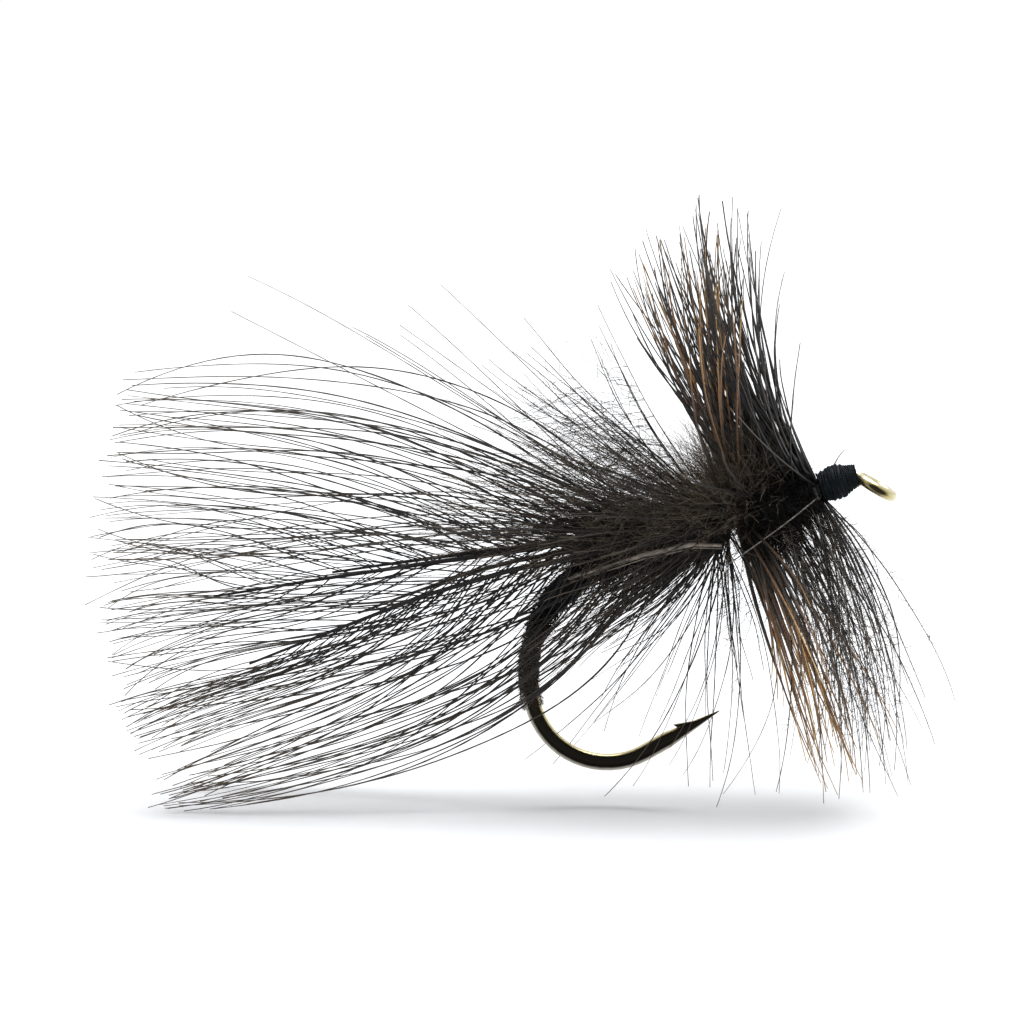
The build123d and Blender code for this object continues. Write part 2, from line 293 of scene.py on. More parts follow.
def follow(roots, headings, lengths):
    """Paths of equal steps along headings (strand, step, 3)."""
    steps = headings * (np.asarray(lengths) / headings.shape[1])[:, None, None]
    start = np.zeros((len(roots), 1, 3))
    return roots[:, None, :] + np.concatenate([start, np.cumsum(steps, axis=1)], 1)


def flowing(roots, first, last, lengths, rings, waver, rng):
    """Paths that leave along first and end along last, with a little waver."""
    t = np.linspace(0, 1, rings - 1)[None, :, None]
    heading = unit(first[:, None, :] * (1 - t) + last[:, None, :] * t)
    return follow(roots, heading, lengths) + wavering(len(roots), rings, waver, rng)


def wavering(count, rings, size, rng):
    """Smooth sideways offsets that grow from nothing: two slow waves for each strand."""
    t = np.linspace(0, 1, rings)[None, :, None]
    offsets = np.zeros((count, rings, 3))
    for waves, share in ((0.8, 1.0), (2.1, 0.25)):
        phase = rng.uniform(0, 2 * np.pi, (count, 1, 3))
        offsets += share * (np.sin(2 * np.pi * waves * t + phase) - np.sin(phase))
    return offsets * np.reshape(size, (-1, 1, 1)) * t


def curling(roots, first, lengths, rings, curl, rng):
    """Paths whose heading wanders, for fur and down."""
    count = len(roots)
    t = np.linspace(0, 1, rings - 1)[None, :, None]
    bend = np.zeros((count, rings - 1, 3))
    for waves in (0.6, 1.4, 2.9):
        phase = rng.uniform(0, 2 * np.pi, (count, 1, 3))
        bend += rng.normal(size=(count, 1, 3)) * (np.sin(2 * np.pi * waves * t + phase) - np.sin(phase))
    return follow(roots, unit(first[:, None, :] + curl * bend), lengths)


def bezier(starts, first, last, ends, rings):
    """Cubic curves that leave starts along first and reach ends along last."""
    t = np.linspace(0, 1, rings)[None, :, None]
    starts, ends = starts[:, None, :], ends[:, None, :]
    out, back = starts + first[:, None, :], ends - last[:, None, :]
    return (1 - t) ** 3 * starts + 3 * (1 - t) ** 2 * t * out + 3 * (1 - t) * t**2 * back + t**3 * ends


def taper(count, rings, root, middle, tip, rng, beading=0.0):
    """Radii along fibres, with an uneven, beaded surface."""
    radii = np.interp(np.linspace(0, 1, rings), [0, 0.4, 1], [root, middle, tip])[None, :]
    radii = radii * rng.uniform(0.8, 1.2, (count, 1))
    return radii * (1 + beading * rng.uniform(-1, 1, (count, rings)))


def end_on_table(paths):
    """Shorten fibres that would pass through the table so that they end just above it."""
    t = np.linspace(0, 1, paths.shape[1])
    for path in paths:
        below = np.flatnonzero(path[:, 2] < TABLE_GAP)
        if len(below) and below[0] > 0:
            share = np.linspace(0, t[below[0] - 1], len(t))
            path[:] = np.stack([np.interp(share, t, path[:, axis]) for axis in range(3)], 1)
    return paths


def points_along(paths, place):
    """Points and tangents at shares (strand, place) of each path's length."""
    rings = paths.shape[1]
    at = np.clip(place, 0, 1) * (rings - 1)
    low = np.clip(at.astype(int), 0, rings - 2)
    rows = np.arange(len(paths))[:, None]
    share = (at - low)[..., None]
    tangents = unit(np.gradient(paths, axis=1))
    return paths[rows, low] * (1 - share) + paths[rows, low + 1] * share, tangents[rows, low]


def barbules(strands, paths, first_cell, spacing, lengths, radius, rng, span=(0.05, 0.97), swing=28):
    """Fine side hairs on alternate sides of fibres; lengths are for the root and for the tip."""
    count = len(paths)
    reach = np.linalg.norm(np.diff(paths, axis=1), axis=2).sum(1).mean()
    number = max(2, int(reach * (span[1] - span[0]) / spacing))
    place = np.linspace(*span, number)[None, :] + rng.uniform(-0.4, 0.4, (count, number)) / number
    roots, tangent = points_along(paths, place)
    turned = rng.normal(size=(count, 1, 3)) + 0.25 * rng.normal(size=(count, number, 3))
    sideways = unit(np.cross(tangent, turned)) * np.where(np.arange(number) % 2, 1, -1)[None, :, None]
    angle = np.radians(swing + rng.uniform(-12, 12, (count, number)))[..., None]
    heading = np.cos(angle) * tangent + np.sin(angle) * sideways
    size = np.interp(place, [0, 1], lengths) * rng.uniform(0.6, 1.25, (count, number))
    cells = np.broadcast_to(first_cell + np.arange(count)[:, None], (count, number))
    strands.spikes(roots, roots + heading * size[..., None], radius, cells, np.clip(place, 0, 1))


def wisps(strands, paths, each, lengths, span, rng, v_range, drift=0.0):
    """Fine curly hairs that leave fibres at wide angles, with a drift rearwards."""
    place = rng.uniform(*span, (len(paths), each))
    roots, tangent = points_along(paths, place)
    roots, tangent = roots.reshape(-1, 3), tangent.reshape(-1, 3)
    sideways = unit(np.cross(tangent, rng.normal(size=roots.shape)))
    first = unit(0.6 * tangent + 0.9 * sideways - drift * FORWARD)
    rings = 7
    hairs = curling(roots, first, rng.uniform(*lengths, len(roots)), rings, curl=0.5, rng=rng)
    hairs = end_on_table(hairs)
    radii = taper(len(roots), rings, root=0.011, middle=0.009, tip=0.005, rng=rng)
    strands.tubes(hairs, radii, sides=3, v_range=v_range)


def fur(strands, back, clock, radius, lengths, lean, curl, thickness, rng, rings, v_range=(0.0, 1.0)):
    """Hairs rooted at a radius round the wire, which lean rearwards and curl."""
    count = len(back)
    roots = on_wire(back, clock, radius)
    first = from_wire(clock, lean + rng.normal(0, 14, count), back) + rng.normal(0, 0.3, (count, 3))
    hairs = curling(roots, unit(first), lengths, rings, curl, rng)
    radii = taper(count, rings, thickness, 0.8 * thickness, 0.4 * thickness, rng)
    strands.tubes(hairs, radii, sides=3, v_range=v_range)


def core(strands, start, end, radius_at, lump, rng, rings=70, sides=36):
    """A lumpy solid round the wire, rounded off at both ends, under fur or thread."""
    back = np.linspace(start, end, rings)
    clock = 2 * np.pi * np.arange(sides) / sides
    height = np.zeros((rings, sides))
    for waves in range(1, 9):
        tilt, phase = rng.uniform(-4, 4), rng.uniform(0, 6.28)
        height += np.sin(waves * clock[None, :] + tilt * back[:, None] + phase) / (1 + 0.3 * waves)
    height += 0.6 * rng.normal(size=(rings, sides))
    rounding = 0.12
    ends = np.clip(np.minimum(back - start, end - back) / rounding, 0, 1) ** 0.5
    radii = radius_at(back)[:, None] * (0.55 + 0.45 * ends[:, None]) + lump * height * ends[:, None]
    strands.tubes(on_wire(back)[None], radii[None], sides, (0.0, 0.25))


def winding(start, end, pitch, radius_at, rng, per_turn, wander, clock=0.0):
    """The middle line of a thread wound round the wire, with some points for each turn."""
    turns = abs(end - start) / pitch
    share = np.linspace(0, 1, int(turns * per_turn))
    back = start + (end - start) * share
    radius = radius_at(back)
    for waves in (0.37, 1.13, 2.71):
        phase = rng.uniform(0, 6.28, 2)
        back = back + wander * np.sin(waves * 2 * np.pi * turns * share + phase[0])
        radius = radius + 0.1 * wander * np.sin(waves * 7 * turns * share + phase[1])
    return on_wire(back, clock + 360 * turns * share, radius)[None]


def plies(path, radius, pitch):
    """The two plies of a twisted thread, about its middle line."""
    across, other = frames_along(path)
    gone = np.concatenate([[0], np.cumsum(np.linalg.norm(np.diff(path[0], axis=0), axis=1))])
    lines = []
    for share in (0.0, 0.5):
        angle = (2 * np.pi * (gone / pitch + share))[None, :, None]
        lines.append(path + radius * (np.cos(angle) * across + np.sin(angle) * other))
    return np.concatenate(lines)


def smooth_line(line, count):
    """The same line as evenly spaced points, with its corners eased."""
    share = np.linspace(0, 1, 4 * count)
    gone = np.concatenate([[0], np.cumsum(np.linalg.norm(np.diff(line, axis=0), axis=1))])
    line = np.stack([np.interp(share, gone / gone[-1], line[:, axis]) for axis in range(3)], 1)
    for _ in range(12):
        line[1:-1] = (line[:-2] + 2 * line[1:-1] + line[2:]) / 4
    return line[np.linspace(0, len(line) - 1, count).astype(int)]


def strand_line(node, count):
    """The middle of a CAD strand, from its front end to its rear end."""
    points = node_points(node)
    points = points[np.argsort(points[:, 0])]
    # a swept CAD strand has vertices only in rings where it bends, well apart along X
    apart = 0.3
    groups = np.split(points, np.flatnonzero(np.diff(points[:, 0]) > apart) + 1)
    middles = np.array([group.mean(0) for group in groups])[::-1]
    return smooth_line(middles, count)


def weighted_clock(count, rng, top, bottom, spread):
    """Degrees round the shank: most fibres near the top and the bottom, and the rest anywhere."""
    kind = rng.uniform(size=count)
    near = rng.normal(0, spread, count)
    clock = np.where(kind < top, near, rng.uniform(0, 360, count))
    return np.where((kind >= top) & (kind < top + bottom), 180 + near, clock)


def belowness(clock):
    """0 at the top of the shank, 1 at the bottom."""
    return (1 - np.cos(np.radians(clock))) / 2


# ---- materials -------------------------------------------

BLACK = (0.004, 0.0035, 0.0035)
SOOT = (0.010, 0.008, 0.007)
DARK_BROWN = (0.028, 0.021, 0.015)
MID_BROWN = (0.080, 0.060, 0.042)
PALE_BROWN = (0.19, 0.150, 0.11)
RUST = (0.13, 0.055, 0.016)
AMBER = (0.31, 0.165, 0.048)
GOLD = (0.52, 0.35, 0.13)


class Shading:
    """A material being made: it adds nodes to it, and gives their output sockets."""

    def __init__(self, name):
        self.material = bpy.data.materials.new(name)
        self.material.use_nodes = True
        self.tree = self.material.node_tree

    def feed(self, inputs, values):
        """Link sockets to a node's inputs, and set the constant ones."""
        for key, value in values.items():
            if isinstance(value, bpy.types.NodeSocket):
                self.tree.links.new(value, inputs[key])
            else:
                inputs[key].default_value = value

    def surface(self, values):
        """Set or link inputs of the surface shader."""
        self.feed(self.tree.nodes["Principled BSDF"].inputs, values)

    def node(self, kind, values, **settings):
        """The outputs of a new node."""
        node = self.tree.nodes.new(kind)
        for name, setting in settings.items():
            setattr(node, name, setting)
        self.feed(node.inputs, values)
        return node.outputs

    def noise(self, place, scale, detail=3.0):
        values = {"Scale": scale, "Detail": detail, "Vector": place}
        return self.node("ShaderNodeTexNoise", values)["Fac"]

    def scaled(self, vector, scale):
        return self.node("ShaderNodeMapping", {"Scale": scale, "Vector": vector})["Vector"]

    def axes(self, vector):
        return self.node("ShaderNodeSeparateXYZ", {"Vector": vector})

    def maths(self, operation, *values):
        return self.node("ShaderNodeMath", dict(enumerate(values)), operation=operation)["Value"]

    def shifted(self, value, noise, amount):
        """value + amount * (noise - 0.5)"""
        change = self.maths("MULTIPLY_ADD", noise, amount, -0.5 * amount)
        return self.maths("ADD", value, change)

    def mixed(self, share, first, second):
        """A colour between a socket and a second socket or constant colour."""
        return self.node("ShaderNodeMix", {0: share, 6: first, 7: second}, data_type="RGBA")[2]

    def ramped(self, value, stops):
        """A value's colour on a ramp through (place, (r, g, b)) stops."""
        ramp = self.tree.nodes.new("ShaderNodeValToRGB")
        elements = ramp.color_ramp.elements
        while len(elements) < len(stops):
            elements.new(0.5)
        for element, (place, colour) in zip(elements, stops):
            element.position = place
            element.color = (*colour, 1)
        self.feed(ramp.inputs, {"Fac": value})
        return ramp.outputs["Color"]

    def roughness(self, noise, middle):
        """Roughness that varies with noise about a middle value."""
        values = {"To Min": max(0.03, middle - 0.12), "To Max": min(1.0, middle + 0.12), "Value": noise}
        self.surface({"Roughness": self.node("ShaderNodeMapRange", values)["Result"]})

    def bumps(self, noise, strength, depth):
        """Fine bumps from noise."""
        values = {"Strength": strength, "Distance": depth, "Height": noise}
        self.surface({"Normal": self.node("ShaderNodeBump", values)["Normal"]})


def fibre_look(name, stops, roughness, spread=0.8, dashes=0.35, specular=0.3):
    """Makes a material for a number of strands: coloured from root to tip, strand by strand."""

    def look(cells):
        fibre = Shading(name)
        uv = fibre.node("ShaderNodeUVMap", {}, uv_map="OFBake")["UV"]
        along = fibre.axes(uv)["Y"]
        slow = fibre.noise(fibre.scaled(uv, (cells * 1.37, 1.3, 1.0)), 1.0)
        fast = fibre.noise(fibre.scaled(uv, (cells * 2.9, 95.0, 1.0)), 1.0)
        place = fibre.shifted(fibre.shifted(along, slow, spread), fast, dashes)
        fibre.surface({"Base Color": fibre.ramped(place, stops), "Specular IOR Level": specular})
        fibre.roughness(fast, roughness)
        return fibre.material

    return look


def solid_look(name, dark, light, scale, roughness, bump, specular=0.5, coat=0.0):
    """Makes a material mottled by noise through the solid, with a fine uneven surface."""

    def look(_):
        solid = Shading(name)
        noise = solid.noise(solid.node("ShaderNodeTexCoord", {})["Object"], scale, 6.0)
        solid.surface({
            "Base Color": solid.ramped(noise, [(0.35, dark), (0.65, light)]),
            "Specular IOR Level": specular,
            "Coat Weight": coat,
            "Coat Roughness": 0.2,
        })
        solid.roughness(noise, roughness)
        solid.bumps(noise, bump, 0.02 * MM)
        return solid.material

    return look


BARBS = fibre_look(
    "feather_barbs",
    [(0.0, BLACK), (0.28, SOOT), (0.55, DARK_BROWN), (1.0, MID_BROWN)],
    roughness=0.55,
)
DOWN = fibre_look(
    "down",
    [(0.0, BLACK), (0.25, SOOT), (0.5, DARK_BROWN), (0.8, MID_BROWN), (1.0, PALE_BROWN)],
    roughness=0.7,
)
BLACK_FUR = fibre_look(
    "black_fur",
    [(0.0, BLACK), (0.6, SOOT), (1.0, MID_BROWN)],
    roughness=0.75, specular=0.12,
)
BROWN_FUR = fibre_look(
    "brown_fur",
    [(0.0, SOOT), (0.3, DARK_BROWN), (0.75, MID_BROWN), (1.0, PALE_BROWN)],
    roughness=0.75, spread=1.0,
)
BLACK_BARBS = fibre_look(
    "black_hackle_barbs",
    [(0.0, BLACK), (0.55, SOOT), (0.8, DARK_BROWN), (1.0, MID_BROWN)],
    roughness=0.42,
)
BROWN_BARBS = fibre_look(
    "brown_hackle_barbs",
    [(0.0, BLACK), (0.25, DARK_BROWN), (0.42, RUST), (0.6, AMBER), (0.8, GOLD), (1.0, MID_BROWN)],
    roughness=0.35, spread=1.3, specular=0.4,
)
SOFT_BARBS = fibre_look(
    "soft_hackle_barbs",
    [(0.0, BLACK), (0.45, SOOT), (0.75, DARK_BROWN), (1.0, MID_BROWN)],
    roughness=0.5,
)
THREAD = solid_look(
    "black_thread", (0.004, 0.005, 0.006), (0.009, 0.012, 0.014),
    scale=6000.0, roughness=0.5, bump=0.4, specular=0.25,
)
CEMENTED_THREAD = solid_look(
    "cemented_thread", (0.0015, 0.003, 0.004), (0.004, 0.008, 0.010),
    scale=6000.0, roughness=0.5, bump=0.4, specular=0.09, coat=0.03,
)
GREY_THREAD = solid_look(
    "grey_thread", (0.05, 0.046, 0.042), (0.24, 0.22, 0.20),
    scale=5000.0, roughness=0.4, bump=0.4,
)
BLACK_QUILL = solid_look(
    "black_quill", BLACK, DARK_BROWN,
    scale=2500.0, roughness=0.4, bump=0.3,
)
FEATHER_QUILL = solid_look(
    "feather_quill", BLACK, SOOT,
    scale=2500.0, roughness=0.5, bump=0.3, specular=0.2,
)
BROWN_QUILL = solid_look(
    "brown_quill", DARK_BROWN, (0.22, 0.11, 0.04),
    scale=2500.0, roughness=0.4, bump=0.3,
)
GREY_QUILL = solid_look(
    "grey_quill", (0.06, 0.05, 0.042), (0.24, 0.205, 0.165),
    scale=3000.0, roughness=0.45, bump=0.6,
)

# The wire's dark lacquer, and light painted on its rims: a painted grey reflection of the floor and a
# painted gold highlight.
LACQUER = (0.010, 0.009, 0.007)
PAINTED_GREY_REFLECTION = (0.44, 0.41, 0.34)
PAINTED_GOLD_HIGHLIGHT = (0.60, 0.52, 0.29)
# the eye's colours: worn gold shown as a painted highlight on the ring's rims, bronze, and painted shade in
# its middle
EYE_GOLD_PAINTED_HIGHLIGHT = (0.66, 0.60, 0.39)
EYE_BRONZE = (0.45, 0.38, 0.18)
EYE_PAINTED_SHADE = (0.020, 0.017, 0.010)


def bronze():
    """Lacquered bronze wire, nearly black where it faces the sides, with light painted on its rims: a
    painted gold highlight inside the bend and a painted grey reflection outside it.

    Near the eye the lacquer is rubbed away to gold, with painted highlights on the ring's rims and painted
    shade in its middle.
    """
    wire = Shading("bronzed_wire")
    place = wire.node("ShaderNodeTexCoord", {})
    noise = wire.noise(place["Object"], 2500.0, 6.0)
    normal = wire.axes(place["Normal"])
    # how much the surface faces the sides: the rims, where it is low, get painted highlights and
    # reflections, and the middle stays dark
    facing_for_painted_light = wire.shifted(wire.maths("ABSOLUTE", normal["Y"]), noise, 0.1)
    # how much the surface faces up: rims facing up get a painted gold highlight, rims facing down a painted
    # grey reflection of the floor
    upward_for_painted_light = wire.maths("MULTIPLY_ADD", normal["X"], 0.4, normal["Z"])
    painted_rim_colour = wire.ramped(upward_for_painted_light, [(0.0, PAINTED_GREY_REFLECTION), (0.25, PAINTED_GOLD_HIGHLIGHT)])
    # the painted grey reflection outside the bend is wider than the painted gold highlight inside it
    spread = wire.maths("MULTIPLY_ADD", upward_for_painted_light, 0.17, facing_for_painted_light)
    darkness = wire.ramped(spread, [(0.63, (0, 0, 0)), (0.82, (1, 1, 1))])
    # the dark lacquer in the middle of the wire, with the painted light on its rims
    lacquer_with_painted_rims = wire.mixed(darkness, painted_rim_colour, (*LACQUER, 1))
    # at the eye: gold wear with painted highlights on the ring's rims and painted shade in its middle
    worn_eye_with_painted_light = wire.ramped(facing_for_painted_light, [(0.5, EYE_GOLD_PAINTED_HIGHLIGHT), (0.80, EYE_BRONZE), (0.93, EYE_PAINTED_SHADE)])
    along = wire.axes(place["Object"])["X"]
    head_front = node_box("head_wraps")[1][0]
    values = {"From Min": (head_front - 0.3) * MM, "From Max": (head_front + 0.1) * MM, "Value": along}
    near_eye = wire.node("ShaderNodeMapRange", values)["Result"]
    wire.surface({"Base Color": wire.mixed(near_eye, lacquer_with_painted_rims, worn_eye_with_painted_light), "Metallic": 1.0})
    wire.roughness(noise, 0.24)
    wire.bumps(noise, 0.15, 0.01 * MM)
    return wire.material


# ---- hook, thread and fur --------------------------------


def hook():
    """The CAD wire keeps its shape and takes the bronze."""
    for slot in bpy.data.objects["hook"].material_slots:
        slot.material = bronze()


def level(radius):
    """A radius that is the same all along the wire."""
    return lambda back: np.full(np.shape(back), radius)


def shape_of(node, shrink=0.0):
    """Where a node starts and ends along the wire, and its outer radius there, less a little."""
    back, radius = outline(node)
    return back[0], back[-1], lambda at: np.interp(at, back, radius) - shrink


def twisted_thread(strands, line, ply_radius, thickness, twist):
    """A two-ply thread along a line."""
    strands.tubes(plies(line, ply_radius, twist), [[thickness]], sides=5)


def thread_bed():
    """The bed of thread on the wire, with two open windings over it."""
    rng = np.random.default_rng(51)
    start, end, _ = shape_of("thread_underwrap")
    wire = node_box("thread_underwrap")[1][1]
    strands = Strands()
    line = winding(start, end, 0.095, level(wire - 0.02), rng, per_turn=12, wander=0.008)
    strands.tubes(line, [[0.042]], sides=5)
    for clock in (40, 200):
        surface = level(wire + 0.035)
        line = winding(start, end - 0.6, 1.3, surface, rng, per_turn=24, wander=0.05, clock=clock)
        strands.tubes(line, [[0.034]], sides=5)
    strands.piece("thread_bed", THREAD, "black_thread", "thread_underwrap")


def head():
    """The head: crossing turns of twisted thread, set in cement."""
    rng = np.random.default_rng(52)
    start, end, radius_at = shape_of("head_wraps", shrink=0.03)
    front = shape_of("whip_finish")[0]
    strands = Strands()

    def cone(back):
        return np.minimum(radius_at(back), 0.38 + 1.2 * (back - front))

    core(strands, front, end + 0.15, cone, lump=0.004, rng=rng, rings=40)
    layers = (
        # from, to, pitch, clock angle, lift
        (start + 0.04, end + 0.05, 0.07, 0, 0.0),
        (end, start + 0.05, 0.15, 140, 0.015),
    )
    for first, last, pitch, clock, lift in layers:
        surface = shape_of("head_wraps", shrink=0.03 - lift)[2]
        line = winding(first, last, pitch, surface, rng, per_turn=96, wander=0.03, clock=clock)
        twisted_thread(strands, line, ply_radius=0.018, thickness=0.023, twist=0.22)
    strands.piece("head_thread", CEMENTED_THREAD, "varnish", "head_wraps", "head_cement")
    whip_finish(rng)


def whip_finish(rng):
    """The last turns of thread, down to the eye."""
    start, end, _ = shape_of("whip_finish")

    def cone(back):
        return 0.385 + 0.25 * (back - start)

    strands = Strands()
    line = winding(end + 0.15, start + 0.02, 0.075, cone, rng, per_turn=90, wander=0.006)
    twisted_thread(strands, line, ply_radius=0.018, thickness=0.024, twist=0.22)
    strands.piece("whip_finish_thread", CEMENTED_THREAD, "black_thread", "whip_finish")


def lashing():
    """The band of thread over the feathers' butts."""
    rng = np.random.default_rng(53)
    start, end, radius_at = shape_of("wing_lashing", shrink=0.07)

    def surface(back):
        return radius_at(back) + 0.05

    strands = Strands()
    core(strands, start, end, radius_at, lump=0.02, rng=rng, rings=30)
    line = winding(start, end, 0.1, radius_at, rng, per_turn=60, wander=0.02)
    twisted_thread(strands, line, ply_radius=0.022, thickness=0.028, twist=0.26)
    line = winding(end, start, 0.35, surface, rng, per_turn=40, wander=0.04)
    strands.tubes(line, [[0.04]], sides=5)
    strands.piece("lashing_thread", THREAD, "black_thread", "wing_lashing")


def abdomen():
    """Black velvety fur round the rear of the shank, with a ragged end on the bend."""
    rng = np.random.default_rng(54)
    start, end, radius_at = shape_of("abdomen_dubbing", shrink=0.04)

    def thinning(back):
        return radius_at(back) * np.clip((end + 0.9 - back) / 1.5, 0.62, 1.1)

    strands = Strands()
    core(strands, start - 1.2, end + 0.1, thinning, lump=0.014, rng=rng, rings=110)
    count = 3800
    back = rng.uniform(start - 1.6, end + 0.45, count)
    length = rng.uniform(0.2, 0.6, count) * np.interp(back, [end - 1.5, end + 0.4], [1.0, 0.6])
    clock = rng.uniform(0, 360, count)
    fur(
        strands, back, clock, radius=0.42, lengths=length,
        lean=48, curl=0.35, thickness=0.014, rng=rng, rings=5, v_range=(0.0, 0.55),
    )
    # short fuzz on the thread below it
    count = 2600
    back = end + 0.2 + rng.uniform(0, 1, count) ** 1.2 * 3.3
    length = rng.uniform(0.06, 0.27, count)
    clock = rng.uniform(0, 360, count)
    fur(
        strands, back, clock, radius=0.35, lengths=length,
        lean=55, curl=0.4, thickness=0.010, rng=rng, rings=5, v_range=(0.8, 1.5),
    )
    strands.piece("abdomen_fur", BLACK_FUR, "black_fur", "abdomen_dubbing")


def thorax():
    """Fur spun thickly behind the front hackle: black inside, brown on top and behind."""
    rng = np.random.default_rng(55)
    start, end, radius_at = shape_of("thorax_dubbing", shrink=0.1)

    def swollen(back):
        return radius_at(back) * 1.12

    strands = Strands()
    core(strands, start - 0.9, end + 0.2, swollen, lump=0.09, rng=rng)
    count = 3600
    back = rng.uniform(start - 0.9, end + 0.6, count)
    length = rng.uniform(0.5, 2.1, count) * np.interp(back, [start - 0.9, start + 0.8], [0.35, 1.0])
    clock = rng.uniform(0, 360, count)
    fur(
        strands, back, clock, radius=radius_at(back) * 0.85, lengths=length,
        lean=5, curl=0.28, thickness=0.015, rng=rng, rings=9, v_range=(0.0, 0.4),
    )
    strands.piece("thorax_black_fur", BLACK_FUR, "black_fur", "thorax_dubbing")

    strands = Strands()
    count = 1700
    back = rng.normal(end, 0.75, count)
    clock = rng.normal(0, 40, count)
    length = rng.uniform(1.0, 4.0, count)
    fur(
        strands, back, clock, radius=0.95, lengths=length,
        lean=14, curl=0.17, thickness=0.010, rng=rng, rings=11,
    )
    # longer, finer hairs behind
    count = 420
    back = rng.uniform(end, end + 2.4, count)
    length = rng.uniform(1.5, 5.2, count)
    clock = rng.normal(0, 35, count)
    fur(
        strands, back, clock, radius=0.9, lengths=length,
        lean=42, curl=0.3, thickness=0.008, rng=rng, rings=11, v_range=(0.7, 1.1),
    )
    strands.piece("thorax_brown_fur", BROWN_FUR, "brown_down", "thorax_dubbing")


def wing_base():
    """Down and short barbs from the feathers' bases, over the lashing."""
    rng = np.random.default_rng(56)
    start, end, _ = shape_of("wing_base_down")
    strands = Strands()
    core(strands, start - 0.3, end + 0.5, level(0.95), lump=0.08, rng=rng, rings=30)
    count = 2300
    back = rng.uniform(start - 1.4, end + 3.4, count)
    clock = rng.normal(0, 75, count)
    length = rng.uniform(0.6, 2.8, count)
    fur(
        strands, back, clock, radius=0.55, lengths=length,
        lean=60, curl=0.4, thickness=0.014, rng=rng, rings=8, v_range=(0.1, 0.95),
    )

    count, rings = 280, 18
    back = rng.uniform(start - 0.6, end + 2.2, count)
    roots = on_wire(back, rng.normal(0, 60, count), radius=0.6)
    rise = np.radians(rng.normal(9, 11, count))
    side = rng.normal(0, 0.16, count)
    first = unit(np.stack([-np.cos(rise), side, np.sin(rise)], 1))
    rise = rise - np.radians(rng.normal(9, 8, count))
    last = unit(np.stack([-np.cos(rise), side, np.sin(rise)], 1))
    paths = flowing(roots, first, last, rng.uniform(3.0, 10.5, count), rings, waver=0.22, rng=rng)
    radii = taper(count, rings, root=0.026, middle=0.018, tip=0.009, rng=rng, beading=0.2)
    cells = strands.tubes(paths, radii, sides=3)
    barbules(
        strands, paths, cells,
        spacing=0.2, lengths=(0.5, 0.25), radius=0.007, rng=rng, span=(0.02, 0.96), swing=42,
    )
    strands.piece("wing_base_fluff", DOWN, "brown_down", "wing_base_down")


def bowed_line(node, count, bow):
    """A CAD strand's middle line, bowed out on the near side."""
    bulge = np.sin(np.pi * np.linspace(0, 1, count))[None, :, None] * [[[0, -bow, 0]]]
    return strand_line(node, count)[None] + bulge


def trimmed_quill():
    """The trimmed quill that lies along the abdomen, with a finer splinter and a few hairs."""
    rng = np.random.default_rng(57)
    points = 60
    line = bowed_line("trimmed_quill_butt", points, bow=0.45)
    strands = Strands()
    strands.tubes(line, taper(1, points, root=0.06, middle=0.09, tip=0.05, rng=rng, beading=0.08), sides=10)
    splinter = line + [[[0.1, 0.1, -0.14]]]
    radii = taper(1, points, root=0.02, middle=0.03, tip=0.02, rng=rng, beading=0.1)
    cells = strands.tubes(splinter, radii, sides=6)
    barbules(strands, line, cells, spacing=0.3, lengths=(0.25, 0.3), radius=0.008, rng=rng)
    strands.piece("trimmed_quill", GREY_QUILL, "grey_quill", "trimmed_quill_butt")


def thread_end():
    """The loose end of the tying thread."""
    strands = Strands()
    line = bowed_line("loose_thread", 260, bow=0.9)
    strands.tubes(plies(line, 0.015, 0.26), [[0.013]], sides=6)
    strands.piece("thread_end", GREY_THREAD, "grey_thread", "loose_thread")


def wound_quill(name, node, look, slot):
    """A hackle's stripped quill, wound on the thread bed and thinned at both ends."""
    rng = np.random.default_rng(58)
    start, end, _ = shape_of(node)
    turns = 3.6
    pitch = (end - start) / turns
    line = winding(start + 0.04, end - 0.04, pitch, level(0.45), rng, per_turn=40, wander=0.01)
    from_ends = np.linspace(0, 9, line.shape[1])
    radii = 0.085 * np.clip(np.minimum(from_ends, from_ends[::-1]), 0.25, 1)
    strands = Strands()
    strands.tubes(line, radii[None], sides=8)
    strands.piece(name, look, slot, node)


# ---- hackles ---------------------------------------------


def hackle_paths(node, clock, lean, curl, length, rings, waver, rng, behind=0.0):
    """Fibres that leave a wound quill at lean + curl and end at lean - curl, in degrees rearwards.

    Some are rooted as far as behind in the fur to the rear of the quill.
    """
    start, end, _ = shape_of(node)
    back = start + (end + behind - start) * rng.uniform(0, 1, len(clock)) ** 1.3
    roots = on_wire(back, clock, radius=0.42)
    first, last = from_wire(clock, lean + curl), from_wire(clock, lean - curl)
    return end_on_table(flowing(roots, first, last, length, rings, waver, rng))


